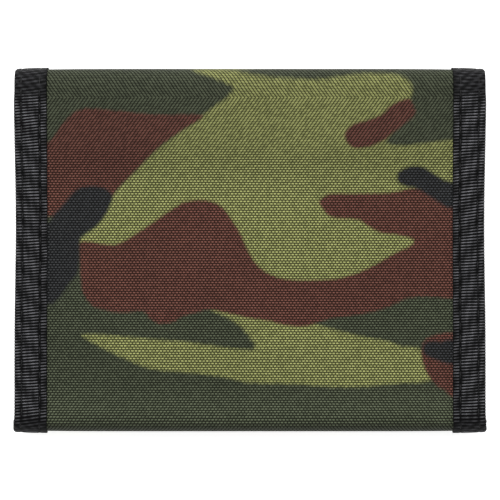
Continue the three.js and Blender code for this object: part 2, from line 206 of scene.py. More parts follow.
# ------------------------------------------------------------- mesh building
def make_piece(name, grid, material, uv=None, fields=None, ring=False, sharp=50):
    """A closed mesh from one or more lofts.

    grid is (lofts, stations, loop points, xyz): each loop closes on itself, stations join
    in order, and both ends get a cap, or join each other for a ring. A loft whose signed
    volume is negative is inside out and gets its faces turned round.
    """
    grid = np.asarray(grid, float)
    grid = grid[None] if grid.ndim == 3 else grid
    lofts, stations, points, _ = grid.shape
    index = np.arange(lofts * stations * points).reshape(lofts, stations, points)
    here, there = (index, np.roll(index, -1, 1)) if ring else (index[:, :-1], index[:, 1:])
    quads = np.stack([here, np.roll(here, -1, 2), np.roll(there, -1, 2), there], -1).reshape(lofts, -1, 4)
    caps = np.empty((lofts, 0, points), int) if ring else np.stack([index[:, 0, ::-1], index[:, -1]], 1)
    co = grid.reshape(-1, 3)

    def volume(polygons):
        a, b, c = co[polygons[..., :1]], co[polygons[..., 1:-1]], co[polygons[..., 2:]]
        return (a * np.cross(b, c)).sum((1, 2, 3))

    turned = (volume(quads) + volume(caps) < 0)[:, None, None]
    quads = np.where(turned, quads[..., ::-1], quads).reshape(-1, 4)
    caps = np.where(turned, caps[..., ::-1], caps).reshape(-1, points)
    mesh = bpy.data.meshes.new(name)
    mesh.from_pydata(co.tolist(), [], quads.tolist() + caps.tolist())
    mesh.polygons.foreach_set("use_smooth", np.ones(len(mesh.polygons), bool))
    mesh.set_sharp_from_angle(angle=math.radians(sharp))
    corner = np.empty(len(mesh.loops), int)
    mesh.loops.foreach_get("vertex_index", corner)
    flat = co[:, :2] / MM if uv is None else np.asarray(uv, float).reshape(-1, 2)
    layer = mesh.uv_layers.new(name="cloth")
    layer.data.foreach_set("uv", flat[corner].ravel())
    for key, values in (fields or {}).items():
        attribute = mesh.attributes.new(key, "FLOAT", "POINT")
        attribute.data.foreach_set("value", np.asarray(values, np.float32).ravel())
    mesh.materials.append(material)
    piece = bpy.data.objects.new(name, mesh)
    bpy.context.scene.collection.objects.link(piece)
    return piece


def bend_over(piece):
    """Bakes a piece's placement into its mesh."""
    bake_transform(piece)


def layer_parts(layer, nodes, build):
    """Builds a continuous layer in four parts, one over each fold, which meet edge to edge between them."""
    owners = [[0], [1, 2], [3], [4]]
    for k, (low, high) in enumerate(PARTS):
        piece = build(f"{layer}_over_{FOLDS[k]}", low, high)
        if nodes:
            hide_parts(*[f"{PANELS[p]}_{nodes}" for p in owners[k]])
        bend_over(piece)


def stations(low, high, step):
    """Even steps from low to high, both included."""
    return np.linspace(low, high, max(2, int(round((high - low) / step)) + 1))


# --------------------------------------------------------------- camouflage
# Closed outlines of the printed patches on the centre panel, drawn in millimetres
# from the middle of the face.
LIGHT_SWEEP = [
    (-43, 2.5), (-39, 6), (-35, 13.5), (-29, 20), (-23, 26), (-12, 34), (-4.5, 40), (-7, 42.5),
    (-14.5, 45), (-8, 45.6), (-2, 44.4), (5, 43.4), (12, 43), (18, 43), (24, 43.7), (30, 44.2),
    (36, 44), (39.6, 43), (41, 41), (40.5, 38), (36, 30), (34.5, 27), (38.5, 26.5), (44.5, 27),
    (51, 27.8), (64, 28), (64, 4), (44, -4), (32, -10), (16, -13), (4, -11), (-6, 0), (-14, 6),
    (-24, 2), (-34, -3), (-42, -2),
]
LIGHT_LEAF = [
    (-42.5, -21.5), (-35, -21.6), (-29, -22.2), (-23, -22.6), (-14.7, -23.4), (-6.6, -24.6), (0, -25.2),
    (1.2, -24.2), (0.2, -22.4), (-1, -20.8), (-3.4, -18.6), (-6.6, -16.6), (-10, -15), (-4, -13), (6, -15),
    (14, -17), (17.5, -19), (24, -20.8), (30, -22.2), (34.5, -23), (38.5, -24.4), (43, -25), (44, -28),
    (46, -32.8), (36.5, -33.7), (30, -34.4), (22, -34.6), (12, -33.9), (0, -33.5), (-6.6, -32.1),
    (-12.7, -31.3), (-23, -30.3), (-27, -29.3), (-31, -27.7), (-35, -25.8), (-39, -23.8),
]
BROWN_WAVE = [
    (-43, 2), (-35, 1.2), (-31.5, 2.4), (-27, 5.2), (-23, 8), (-19.5, 10.4), (-16.7, 12), (-12.7, 12.6),
    (-9, 12), (-6.6, 10.4), (-4.6, 7.6), (-2.6, 4.4), (0, -1), (2, -4), (5.4, -6.3), (10, -7.5),
    (16, -7.7), (22.7, -7.1), (27.5, -5.7), (32.3, -3.3), (36.5, -0.9), (40.5, 1), (41.4, 2.2), (40, 3.2),
    (36.4, 4), (33, 4.4), (30, 6), (27.5, 7.6), (24, 8), (21, 8.2), (19, 9.6), (17.6, 12), (18.7, 13.6),
    (21, 14.2), (28, 14.2), (36.5, 14.6), (41, 15.6), (50, 15.8), (64, 15), (64, -12), (51, -12.2),
    (44.5, -11.7), (39.6, -12.2), (34.4, -14.6), (28.3, -16.2), (22.3, -17), (18.3, -17.8), (15.4, -19),
    (12.2, -19.3), (8.2, -18.8), (4.2, -17.8), (0, -17.2), (-4.6, -16.2), (-10.3, -15), (-12.7, -15.6),
    (-16.7, -16.6), (-19.5, -18.2), (-22.8, -18.6), (-25.2, -17.4), (-27, -15.5), (-32.8, -15.8),
    (-38, -14.8), (-40, -13.8), (-41.7, -11.7), (-42.5, -9), (-43, -3),
]
BROWN_CORNER = [
    (-52, 26.5), (-47, 32.4), (-42.5, 35.6), (-35, 35.3), (-24.4, 34.2), (-12, 34), (-17, 30.4), (-23, 26),
    (-29, 20), (-33, 16), (-35.5, 13), (-39, 11), (-44, 9), (-49, 8), (-51.3, 8.6), (-64, 8), (-64, 24),
]
BROWN_FINGER = [
    (24, 29), (24.7, 30.6), (26.3, 31.8), (30.3, 33), (33.2, 34.2), (34.8, 35.8), (36.8, 37.2), (40, 38.2),
    (41, 37.2), (41.8, 34.6), (40.4, 33), (38.4, 31.4), (36.4, 29.8), (34.4, 28.1), (32.3, 26.9), (30, 26.1),
    (26.7, 25.8), (24.6, 27),
]
BROWN_CUFF = [
    (43.4, -24.8), (44.2, -22.8), (46.4, -21.6), (51.3, -20.8), (64, -20.5), (64, -42), (51.3, -37.1),
    (49.3, -35.5), (46.8, -33.9), (45.2, -31.9), (44, -29.5), (43.4, -27),
]
BLACK_STREAK = [
    (-40.5, 16.1), (-37.2, 15.8), (-34.9, 14), (-35.2, 11.6), (-36.8, 8.4), (-39, 6), (-41.7, 4.4), (-43, 3),
    (-43, 0), (-43.3, -4), (-43.8, -6.2), (-45.7, -8.5), (-47, -10.5), (-49, -12.8), (-51.3, -13.8),
    (-64, -14.5), (-64, 5), (-51.5, 6.8), (-49.7, 8.8), (-47, 11.6), (-45, 14.2), (-43, 15.7),
]
BLACK_DROP = [
    (37.2, 18.9), (38, 20.1), (40.4, 21.1), (43.2, 21.1), (45.2, 20.1), (47.6, 18.5), (51, 17.1), (64, 14),
    (64, 9), (51, 10.6), (48.5, 11.6), (44.4, 14.2), (42, 15.5), (40.4, 15.9), (38.4, 16.4), (37.3, 17.5),
]
BLACK_CUFF = [
    (43.7, -25), (44.2, -23.5), (46, -23), (48.5, -23.2), (51.3, -22.6), (64, -23), (64, -30), (51.3, -28.9),
    (47.6, -27.9), (45.2, -27), (44, -26.2),
]


def rounded_outline(points, steps=4):
    """The closed Catmull-Rom curve through the points: each stretch is the cubic of its four neighbours."""
    p = np.array(points, float)[:, None]
    a, b, c, d = (np.roll(p, k, 0) for k in (1, 0, -1, -2))
    t = (np.arange(steps) / steps)[None, :, None]
    curve = b + t / 2 * (c - a + t * (2 * a - 5 * b + 4 * c - d + t * (3 * (b - c) + d - a)))
    return curve.reshape(-1, 2)


def inside_distance(outline, x, y):
    """Distance from each point to a closed outline: that to the nearest stretch, positive inside.

    A point is inside where a ray along x crosses the outline an odd number of times.
    """
    p = rounded_outline(outline)
    q = np.roll(p, -1, 0)
    nearest = np.full(x.shape, 1e9)
    within = np.zeros(x.shape, bool)
    for (ax, ay), (bx, by) in zip(p, q):
        dx, dy = bx - ax, by - ay
        t = np.clip(((x - ax) * dx + (y - ay) * dy) / max(dx * dx + dy * dy, 1e-9), 0, 1)
        nearest = np.minimum(nearest, (x - ax - t * dx) ** 2 + (y - ay - t * dy) ** 2)
        if ay != by:
            within ^= ((ay > y) != (by > y)) & (x < ax + (y - ay) * dx / dy)
    return np.where(within, 1, -1) * np.sqrt(nearest)


def camouflage(x, s):
    """Signed distances of the three printed colours.

    On the centre panel they come from the drawn outlines; past the spines from slow sums of
    sines, and the two are mixed along each spine.
    """
    y = np.interp(s, S_TABLE, Y_TABLE)
    after_outer_spine = smooth((s - MIDDLES[0]) / (ARCS[1][0] - MIDDLES[0] + 2))
    before_inner_spine = smooth((MIDDLES[2] - s) / (MIDDLES[2] - ARCS[2][1] + 1))
    drawn = after_outer_spine * before_inner_spine
    sets = {
        "camo_light": (LIGHT_SWEEP, LIGHT_LEAF),
        "camo_brown": (BROWN_WAVE, BROWN_CORNER, BROWN_FINGER, BROWN_CUFF),
        "camo_black": (BLACK_STREAK, BLACK_DROP, BLACK_CUFF),
    }
    waves = {
        "camo_light": 6 * np.sin(x / 15 + s / 11 + 0.8) + 5 * np.sin(x / 9 - s / 13 + 2.1) - 1.5,
        "camo_brown": 6 * np.sin(x / 17 - s / 9 + 4.0) + 5 * np.sin(x / 8 + s / 15 + 0.3) - 2.5,
        "camo_black": 5 * np.sin(x / 11 + s / 8 + 5.2) + 4 * np.sin(x / 7 - s / 12 + 1.0) - 5.0,
    }
    fields = {}
    for key, outlines in sets.items():
        face = np.full(x.shape, -20.0)
        live = drawn > 0
        if live.any():
            face[live] = np.max([inside_distance(o, x[live], y[live]) for o in outlines], 0)
        fields[key] = np.clip(drawn * face + (1 - drawn) * waves[key], -9, 9)
    fields["weave_lean"], fields["weave_fill_and_painted_light"] = weave_lean(x, y, drawn)
    return fields


def weave_lean(x, y, on_face):
    """Which way the threads' crossings line up on the face, and how far their dashes join.

    The dashes lean one way below the upper fold, the other way on it, left and right of the
    middle by the lower fold, and not at all at mid-face. They join by the upper fold and on the
    lower one's rim. The second value also carries painted light: it brightens the band just
    above that rim as a painted highlight and darkens the rim as painted shade.
    """
    # lower marks the band above the lower fold's rim, brightened as a painted highlight; rim is the fold's
    # edge, darkened as painted shade.
    upper, lower, rim = smooth((y - 12) / 18), smooth((-33 - y) / 7), smooth((-43.4 - y) / 1.2)
    lean = upper * np.where(y > 38.6, -1, 1) - 0.85 * lower * np.tanh((x - 8) / 25)
    return on_face * lean, on_face * (upper - 0.9 * lower * (1 - rim) + 1.9 * rim)


# ------------------------------------------------------------------ shading
def linear(red, green, blue):
    """Display colour, 0 to 255, as scene-linear red, green, blue and full alpha."""
    c = np.array([red, green, blue]) / 255
    return (*np.where(c <= 0.04045, c / 12.92, ((c + 0.055) / 1.055) ** 2.4).tolist(), 1.0)


def put(tree, kind, settings=None, **inputs):
    """Adds a node, sets its properties and gives each named input a value or a link."""
    node = tree.nodes.new(kind)
    for key, value in (settings or {}).items():
        setattr(node, key, value)
    for key, value in inputs.items():
        key = int(key[1:]) if key[0] == "i" and key[1:].isdigit() else key.replace("_", " ")
        if isinstance(value, bpy.types.NodeSocket):
            tree.links.new(value, node.inputs[key])
        else:
            node.inputs[key].default_value = value
    return node


def math_node(tree, operation, a, b=0.0):
    """One Math node and its result."""
    return put(tree, "ShaderNodeMath", {"operation": operation}, i0=a, i1=b).outputs[0]


def times(tree, a, b):
    """a multiplied by b."""
    return math_node(tree, "MULTIPLY", a, b)


def plus(tree, a, b):
    """a and b added up."""
    return math_node(tree, "ADD", a, b)


def minus(tree, a, b):
    """a less b."""
    return math_node(tree, "SUBTRACT", a, b)


def attribute(tree, name):
    """A value that the mesh carries at its points."""
    return put(tree, "ShaderNodeAttribute", {"attribute_name": name}).outputs["Fac"]


def scaled(tree, colour, factor):
    """A colour multiplied by a number."""
    return put(tree, "ShaderNodeVectorMath", {"operation": "SCALE"}, i0=colour, Scale=factor).outputs[0]


def ramp(tree, value, low, high, to_low=0.0, to_high=1.0):
    """An S-curve from to_low to to_high as value goes from low to high."""
    return put(tree, "ShaderNodeMapRange", {"interpolation_type": "SMOOTHSTEP"}, Value=value, From_Min=low,
               From_Max=high, To_Min=to_low, To_Max=to_high).outputs[0]


def mixed(tree, factor, a, b, blend="MIX"):
    """Colour a turned into b by factor."""
    node = tree.nodes.new("ShaderNodeMix")
    node.data_type, node.blend_type = "RGBA", blend
    for socket, value in ((node.inputs[0], factor), (node.inputs[6], a), (node.inputs[7], b)):
        if isinstance(value, bpy.types.NodeSocket):
            tree.links.new(value, socket)
        else:
            socket.default_value = value
    return node.outputs[2]


def new_group(name, inputs, outputs):
    """An empty shader node group with named sockets, its input node and its output node."""
    tree = bpy.data.node_groups.new(name, "ShaderNodeTree")
    for key, kind, value in inputs:
        socket = tree.interface.new_socket(name=key, in_out="INPUT", socket_type=kind)
        if value is not None:
            socket.default_value = value
    for key, kind in outputs:
        tree.interface.new_socket(name=key, in_out="OUTPUT", socket_type=kind)
    return tree, tree.nodes.new("NodeGroupInput"), tree.nodes.new("NodeGroupOutput")


def weave_group():
    """Plain weave seen as rows of short raised dashes: every other row is shifted by half a dash.

    Lean, from -1 to 1, slants the dashes until they join those of the next row into diagonals.
    Fill closes the gaps between the rows as it goes from 0 to 1.

    Outputs: Dash, 0 in the gaps and 1 on a dash; Thread, a value of each dash; Height for a bump.
    """
    tree, source, sink = new_group(
        "Plain weave",
        [
            ("Vector", "NodeSocketVector", None),
            ("Row", "NodeSocketFloat", 0.64),
            ("Length", "NodeSocketFloat", 0.9),
            ("Lean", "NodeSocketFloat", 0.0),
            ("Fill", "NodeSocketFloat", 0.0),
        ],
        [("Dash", "NodeSocketFloat"), ("Thread", "NodeSocketFloat"), ("Height", "NodeSocketFloat")],
    )
    split = put(tree, "ShaderNodeSeparateXYZ", Vector=source.outputs["Vector"])
    row = math_node(tree, "DIVIDE", split.outputs[1], source.outputs["Row"])
    row_number = math_node(tree, "FLOOR", row)
    within = minus(tree, math_node(tree, "FRACT", row), 0.5)
    shift = times(tree, math_node(tree, "FLOORED_MODULO", row_number, 2.0), 0.5)
    slant = times(tree, times(tree, within, source.outputs["Lean"]), 0.5)
    shift = plus(tree, shift, slant)
    column = plus(tree, math_node(tree, "DIVIDE", split.outputs[0], source.outputs["Length"]), shift)

    def hump(value):
        """0 at each whole number and 1 half-way between, with straight flanks."""
        centred = minus(tree, times(tree, math_node(tree, "FRACT", value), 2.0), 1.0)
        return minus(tree, 1.0, math_node(tree, "ABSOLUTE", centred))

    across, along = hump(row), hump(column)
    filled = times(tree, source.outputs["Fill"], 0.5)
    across = math_node(tree, "MAXIMUM", across, filled)
    dash = times(tree, ramp(tree, across, 0.15, 0.85), ramp(tree, along, 0.05, 0.6))
    cell = put(tree, "ShaderNodeCombineXYZ", X=math_node(tree, "FLOOR", column), Y=row_number)
    noise = put(tree, "ShaderNodeTexWhiteNoise", {"noise_dimensions": "2D"}, Vector=cell.outputs[0])
    height = plus(tree, times(tree, dash, 0.8), times(tree, across, 0.2))
    tree.links.new(dash, sink.inputs["Dash"])
    tree.links.new(noise.outputs["Value"], sink.inputs["Thread"])
    tree.links.new(height, sink.inputs["Height"])
    return tree


def mottle_group():
    """Slow and fine unevenness: a colour is scaled by two sizes of noise, each centred on one."""
    tree, source, sink = new_group(
        "Mottle",
        [
            ("Vector", "NodeSocketVector", None),
            ("Color", "NodeSocketColor", None),
            ("Amount", "NodeSocketFloat", 0.2),
            ("Slow", "NodeSocketFloat", 0.06),
            ("Fine", "NodeSocketFloat", 2.0),
        ],
        [("Color", "NodeSocketColor"), ("Fine", "NodeSocketFloat")],
    )
    slow, fine = (
        put(tree, "ShaderNodeTexNoise", Vector=source.outputs["Vector"], Scale=source.outputs[size], Detail=2.0)
        for size in ("Slow", "Fine")
    )
    both = minus(tree, plus(tree, slow.outputs[0], fine.outputs[0]), 1.0)
    factor = plus(tree, times(tree, both, source.outputs["Amount"]), 1.0)
    tree.links.new(scaled(tree, source.outputs["Color"], factor), sink.inputs["Color"])
    tree.links.new(fine.outputs[0], sink.inputs["Fine"])
    return tree


def group_node(tree, group, **inputs):
    """Places a node group and sets its inputs."""
    return put(tree, "ShaderNodeGroup", {"node_tree": group}, **inputs)


def new_material(name, roughness, metallic=0.0, **sockets):
    """A material with a plain Principled shader; returns the material, its tree and the shader."""
    material = bpy.data.materials.new(name)
    material.use_nodes = True
    tree = material.node_tree
    tree.nodes.clear()
    shader = put(tree, "ShaderNodeBsdfPrincipled", Roughness=roughness, Metallic=metallic, **sockets)
    out = tree.nodes.new("ShaderNodeOutputMaterial")
    tree.links.new(shader.outputs[0], out.inputs[0])
    return material, tree, shader


def opaque(tint, factor=1.0):
    """A tint times a factor, with full alpha."""
    return tuple(c * factor for c in tint) + (1.0,)


def cloth_vector(tree):
    """Millimetres along and across the cloth, from the piece's own map."""
    return put(tree, "ShaderNodeUVMap", {"uv_map": "cloth"}).outputs[0]


def bump(tree, shader, height, strength, distance):
    """Raises the surface by height, in metres of distance."""
    node = put(tree, "ShaderNodeBump", Strength=strength, Distance=distance, Height=height)
    tree.links.new(node.outputs[0], shader.inputs["Normal"])


def shell_material(colours, groups):
    """Printed cloth: four colours split at the signed distances, light on the dashes and dark in the gaps."""
    material, tree, shader = new_material("Camouflage cloth", 0.72, Specular_IOR_Level=0.1)
    vector = cloth_vector(tree)
    fill = attribute(tree, "weave_fill_and_painted_light")
    weave = group_node(tree, groups["weave"], Vector=vector, Lean=attribute(tree, "weave_lean"), Fill=fill)
    jitter = times(tree, minus(tree, weave.outputs["Thread"], 0.5), 0.25)
    colour = opaque(colours.dark_green)
    prints = (
        ("camo_light", colours.light_olive, 0.75),
        ("camo_brown", colours.brown, 0.6),
        ("camo_black", colours.black, 0.7),
    )
    for key, dye, spread in prints:
        share = ramp(tree, plus(tree, attribute(tree, key), jitter), -spread, spread)
        colour = mixed(tree, share, colour, opaque(dye))
    mottle = group_node(tree, groups["mottle"], Vector=vector, Color=colour, Amount=0.22, Slow=0.05, Fine=1.6)
    thread = times(tree, weave.outputs["Dash"], ramp(tree, weave.outputs["Thread"], 0.0, 1.0, 0.75, 1.15))
    # The fill value dims the cloth where the weave's gaps close, and by the lower fold it carries painted
    # light: painted shade on the rim and a painted highlight just above it.
    even = minus(tree, 1.0, times(tree, fill, 0.32))
    tone = times(tree, ramp(tree, thread, 0.0, 1.0, 0.24, 2.1), even)
    tree.links.new(scaled(tree, mottle.outputs["Color"], tone), shader.inputs["Base Color"])
    tree.links.new(ramp(tree, weave.outputs["Dash"], 0.0, 1.0, 0.85, 0.55), shader.inputs["Roughness"])
    bump(tree, shader, weave.outputs["Height"], 0.5, 0.12 * MM)


def tape_material(colours, groups):
    """Ribbed black tape: a painted highlight on the ribs' crests and painted shade between them, with fine
    fibres across.
    """
    material, tree, shader = new_material("Black binding tape", 0.6, Specular_IOR_Level=0.1)
    vector = cloth_vector(tree)
    weave = group_node(tree, groups["weave"], Vector=vector, Row=0.25, Length=0.45)
    rib = attribute(tree, "rib")
    # Between the ribs a shaded copy of the tape colour and on the crests a lit copy: painted shade and painted
    # highlight, set by the rib attribute.
    colour = mixed(tree, ramp(tree, rib, 0.2, 1.0), opaque(colours.tape, 0.05), opaque(colours.tape, 6.2))
    mottle = group_node(tree, groups["mottle"], Vector=vector, Color=colour, Amount=0.5, Slow=0.2, Fine=2.5)
    tree.links.new(mottle.outputs["Color"], shader.inputs["Base Color"])
    tree.links.new(ramp(tree, rib, 0.0, 1.0, 0.8, 0.5), shader.inputs["Roughness"])
    bump(tree, shader, weave.outputs["Height"], 0.3, 0.05 * MM)


def plain_cloth(name, dye, groups, row, length, low, high, roughness=0.8, strength=0.5):
    """Plain dyed cloth: one colour, darker between the threads, with a fine bump."""
    material, tree, shader = new_material(name, roughness, Specular_IOR_Level=0.2)
    vector = cloth_vector(tree)
    weave = group_node(tree, groups["weave"], Vector=vector, Row=row, Length=length)
    mottle = group_node(
        tree, groups["mottle"], Vector=vector, Color=opaque(dye), Amount=0.35, Slow=0.08, Fine=3.0
    )
    tone = ramp(tree, weave.outputs["Dash"], 0.0, 1.0, low, high)
    tree.links.new(scaled(tree, mottle.outputs["Color"], tone), shader.inputs["Base Color"])
    bump(tree, shader, weave.outputs["Height"], strength, row * 0.2 * MM)


def smooth_material(name, dye, groups, roughness, metallic=0.0, amount=0.3, fine=1.5, strength=0.1, **sockets):
    """Moulded, metal or film finish: one colour with slight unevenness in tone and gloss."""
    material, tree, shader = new_material(name, roughness, metallic, **sockets)
    object_place = put(tree, "ShaderNodeTexCoord").outputs["Object"]
    in_millimetres = put(tree, "ShaderNodeMapping", Vector=object_place, Scale=(1 / MM,) * 3).outputs[0]
    mottle = group_node(
        tree, groups["mottle"], Vector=in_millimetres, Color=opaque(dye), Amount=amount, Slow=0.1, Fine=fine
    )
    tree.links.new(mottle.outputs["Color"], shader.inputs["Base Color"])
    gloss = ramp(tree, mottle.outputs["Fine"], 0.3, 0.7, roughness * 0.8, min(1.0, roughness * 1.25))
    tree.links.new(gloss, shader.inputs["Roughness"])
    bump(tree, shader, mottle.outputs["Fine"], strength, 0.1 * MM)
    return material


def finishes():
    """All materials by name, made once."""
    if "Camouflage cloth" not in bpy.data.materials:
        colours = bpy.context.scene.wallet_colours
        groups = {"weave": weave_group(), "mottle": mottle_group()}
        shell_material(colours, groups)
        plain_cloth("Black pack cloth", colours.lining, groups, 0.5, 0.6, 0.4, 2.6, strength=0.7)
        tape_material(colours, groups)
        plain_cloth("Hook tape", colours.tape, groups, 0.5, 0.5, 0.6, 2.0)
        plain_cloth("Loop tape", colours.tape, groups, 0.55, 0.5, 0.35, 3.4, roughness=0.95, strength=1.0)
        plain_cloth("Zip tape", colours.tape, groups, 0.35, 0.7, 0.6, 1.5)
        for name, factor in (("Sewing thread", 0.25), ("Lining thread", 2.6)):
            dye = [c * factor for c in colours.tape]
            smooth_material(name, dye, groups, 0.6, fine=4.0, Specular_IOR_Level=0.2)
        smooth_material("Window frame", colours.lining, groups, 0.5, fine=3.0, strength=0.4)
        smooth_material("Zip coil", colours.coil, groups, 0.35)
        smooth_material("Zip metal", colours.metal, groups, 0.32, 0.9)
        film = smooth_material("Clear film", (0.85, 0.88, 0.9), groups, 0.12, amount=0.05, fine=0.3, Alpha=0.2)
        film.surface_render_method = "BLENDED"
    return bpy.data.materials


# -------------------------------------------------------------- tape shapes
def tape_legs(cover, out, inner, fine_out=True, fine_in=True):
    """Cross-section of a binding tape folded round an edge.

    Returns the closed loop as (reach from the outermost edge, depth, outward reach, outward
    depth, pattern share): the skin goes in along the outer leg, round two small corners and
    back along the inner leg, and the other skin returns at the tape's thickness.
    """
    radius = min(TAPE_BEND, (inner - out) / 2 - 0.05)
    seams = [e + d for e in STITCH_ROWS for d in (-0.5, -0.25, 0, 0.25, 0.5)]
    # Points across the tape: close at its sewn edge, in both seams and by the bend.
    between = [5.6, 4.9, 4.2, 3.5, 2.9, 1.2, 0.95]
    dense = np.unique([cover, cover - 0.1, cover - 0.3, *seams, *between, radius])[::-1]
    coarse = np.linspace(cover, radius, 5)
    outer_leg = dense if fine_out else coarse
    inner_leg = (dense if fine_in else coarse)[::-1]
    arc = np.linspace(0, math.pi / 2, 5)[1:-1]
    corner_e, corner_n = radius - radius * np.sin(arc), radius - radius * np.cos(arc)
    middle = np.linspace(out + radius, inner - radius, 3)
    first, last, bend = 0 * outer_leg, 0 * inner_leg, np.ones(2 * len(arc) + len(middle))
    e = np.concatenate([outer_leg, corner_e, 0 * middle, corner_e[::-1], inner_leg])
    depth = np.concatenate([first + out, out + corner_n, middle, inner - corner_n[::-1], last + inner])
    push_e = np.concatenate([first, -np.sin(arc), 0 * middle - 1, -np.sin(arc[::-1]), last])
    push_n = np.concatenate([first - 1, -np.cos(arc), 0 * middle, np.cos(arc[::-1]), last + 1])
    share = np.concatenate([first + fine_out, bend, last + fine_in]) * np.clip((cover - e) / EDGE_FADE, 0, 1)
    back_e = np.array([cover, radius, TAPE, TAPE, radius, cover])
    back_n = np.array([inner - TAPE, inner - TAPE, inner - radius, out + radius, out + TAPE, out + TAPE])
    still = 0 * back_e
    pairs = ((e, back_e), (depth, back_n), (push_e, still), (push_n, still), (share, still))
    return [np.concatenate(pair) for pair in pairs]


def rib_wander(e, run, shear):
    """How far a rib strays from its even place, as a share of the pitch.

    Slow waves along the run that differ across the tape, and an even slant of shear.
    """
    waves = 0.16 * np.sin(run / 6.3 + e * 0.3) + 0.07 * np.sin(run / 2.3 - e * 0.4)
    return waves + e * (shear + 0.03 * np.sin(run / 13 + 1))


def tape_relief(e, run, calm, shear=0.0, spine=0.0):
    """Height of a tape's skin: ribs across it, two sunk seams and a soft swell between them.

    The ribs are a cosine along the run with a slight wander, calm fades them, each seam is a
    bell-shaped dip and the swell a half sine from seam to seam. Where spine is 1 the tape is
    pulled taut: its swell and its dips nearly go.
    """
    wander = rib_wander(e, run, shear)
    ribs = 0.075 * np.cos(2 * math.pi * (run / RIB + wander)) * (1 - 0.85 * calm)
    dips = sum(np.exp(-(((e - row) / 0.26) ** 2)) for row in STITCH_ROWS)
    dips = dips * (1 - 0.75 * calm)
    near, far = STITCH_ROWS
    swell = 0.16 * np.sin(math.pi * np.clip((e - near) / (far - near), 0, 1))
    swell = swell + 0.08 * np.sin(math.pi * np.clip(e / near, 0, 1))
    taut = 1 - 0.8 * spine
    pucker = 0.03 * np.sin(2 * math.pi * run / 3.1) * (e > 0.4)
    seamed = taut * (swell * (1 - calm) - 0.14 * dips)
    return ribs * (1 - 0.7 * np.clip(dips, 0, 1)) + seamed + pucker - 0.28 * calm


def painted_rib_light(e, run, calm, share, shear=0.0):
    """Painted light on a tape's ribs: a highlight of 1 on a rib's crest, shade of 0 between ribs, low and
    uneven where they fade.
    """
    wander = rib_wander(e, run, shear)
    crest = (0.5 + 0.5 * np.cos(2 * math.pi * (run / RIB + wander))) ** 1.8
    # Each seam's groove puts painted shade on the ribs that it crosses.
    dips = sum(dark * np.exp(-(((e - row) / 0.3) ** 2)) for row, dark in zip(STITCH_ROWS, SEAM_PAINTED_SHADE))
    # Slow waves in the strength of the painted crest highlight.
    crest_strength = 0.72 + 0.28 * np.sin(run / 3.7 + e * 1.3) * np.sin(run / 1.3 - e * 2.1)
    ribbed = crest * crest_strength * (1 - 0.85 * np.clip(dips, 0, 1))
    creased = 0.25 + 0.12 * crest + 0.11 * np.sin(e * 1.9 + run * 1.3) * np.sin(run * 4.1 - e * 0.7)
    # A low share, as along the sewn edge, lowers the tone: painted shade where the tape meets the cloth.
    return (ribbed * (1 - calm) + creased * calm) * (0.3 + 0.7 * share)


def calm_at(s):
    """1 at the middle of each fold's quarter circle and 0 a little past its ends."""
    return sum(
        smooth(reach - np.abs(s - (a + b) / 2) / ((b - a) / 2 + 0.4)) for (a, b), reach in zip(ARCS, CALM_REACH)
    )


def spine_at(s):
    """1 along each spine and 0 a little past its two folds."""
    halves = {k: (ARCS[k + 1][1] - ARCS[k][0]) / 2 for k in SPINE_BULGE}
    return sum(smooth((half + 2 - np.abs(s - MIDDLES[k])) / 2) for k, half in halves.items())


def side_reach(s):
    """How far the sides draw in: most at mid-panel, least at the folds, with a flare by the lower one."""
    y = np.interp(s, S_TABLE, Y_TABLE)
    flare = 0.45 * smooth((-y - 41) / 4)
    return 0.4 * (1 - np.clip(np.abs(y) / 46, 0, 1) ** 2) + 0.12 * np.sin(y / 9 + 0.7) + 0.15 - flare


def side_place(side, e, s):
    """Where a reach of e from a side tape's outer edge lies along x. side is -1 or 1."""
    return side * (HALF_WIDTH - e - side_reach(s) * (1 - e / 14) - EDGE_TUCK)


def side_tape(side, out, inner, fine_out, fine_in):
    """Maker of one part of a side tape, its section carried along the strip. side is -1 or 1."""
    e, depth, push_e, push_n, share = tape_legs(TAPE_COVER, out, inner, fine_out, fine_in)
    shear = -side * RIB_SHEAR

    def build(name, low, high):
        s = stations(low, high, TAPE_STEP)[:, None]
        relief = tape_relief(e[None], s, calm_at(s), shear, spine_at(s)) * share[None]
        x = side_place(side, e[None], s) - side * push_e[None] * relief * PUSH_SIDEWAYS
        run = np.cumsum(np.hypot(np.diff(e, prepend=e[0]), np.diff(depth, prepend=depth[0])))
        uv = np.stack(np.broadcast_arrays(run[None], s), -1)
        grid = place(x, s, depth[None] + push_n[None] * relief)
        # The rib attribute is painted light: highlight on the crests, shade between the ribs.
        tone = painted_rib_light(e[None], s, calm_at(s), share[None], shear)
        material = finishes()["Black binding tape"]
        return make_piece(name, grid, material, uv=uv, fields={"rib": tone}, sharp=75)

    return build


def ring_turns(count):
    """Angles of the points round one ring, on the last axis of a grid of lofts."""
    return (np.arange(count) / count * 2 * math.pi)[None, None]


def squarish(wave):
    """A sine or cosine with flattened tops, which makes a ring of them nearly square."""
    return np.sign(wave) * np.abs(wave) ** 0.5


def thread_lofts(x, s, depth, along_x, up):
    """Stitches as short sunk beads.

    Round rings whose radius falls to nothing at both ends and whose ends dive in. x, s and
    depth are the stitches' middles; along_x says which way the thread runs.
    """
    shape = (len(x), 7, 6)
    a = np.linspace(-1, 1, shape[1])[None, :, None]
    turn = ring_turns(shape[2])
    radius = THREAD_RADIUS * np.sqrt(np.clip(1.02 - a**4, 0, 1))
    along, across = STITCH_HALF * a + 0 * turn, radius * np.cos(turn)
    rise = radius * np.sin(turn) + 0.02 - 0.2 * a**2
    dx, ds = (along, across) if along_x else (across, along)
    x, s, depth = (np.broadcast_to(np.asarray(value)[:, None, None], shape) for value in (x, s, depth))
    return x + dx, s + ds, depth + up * rise


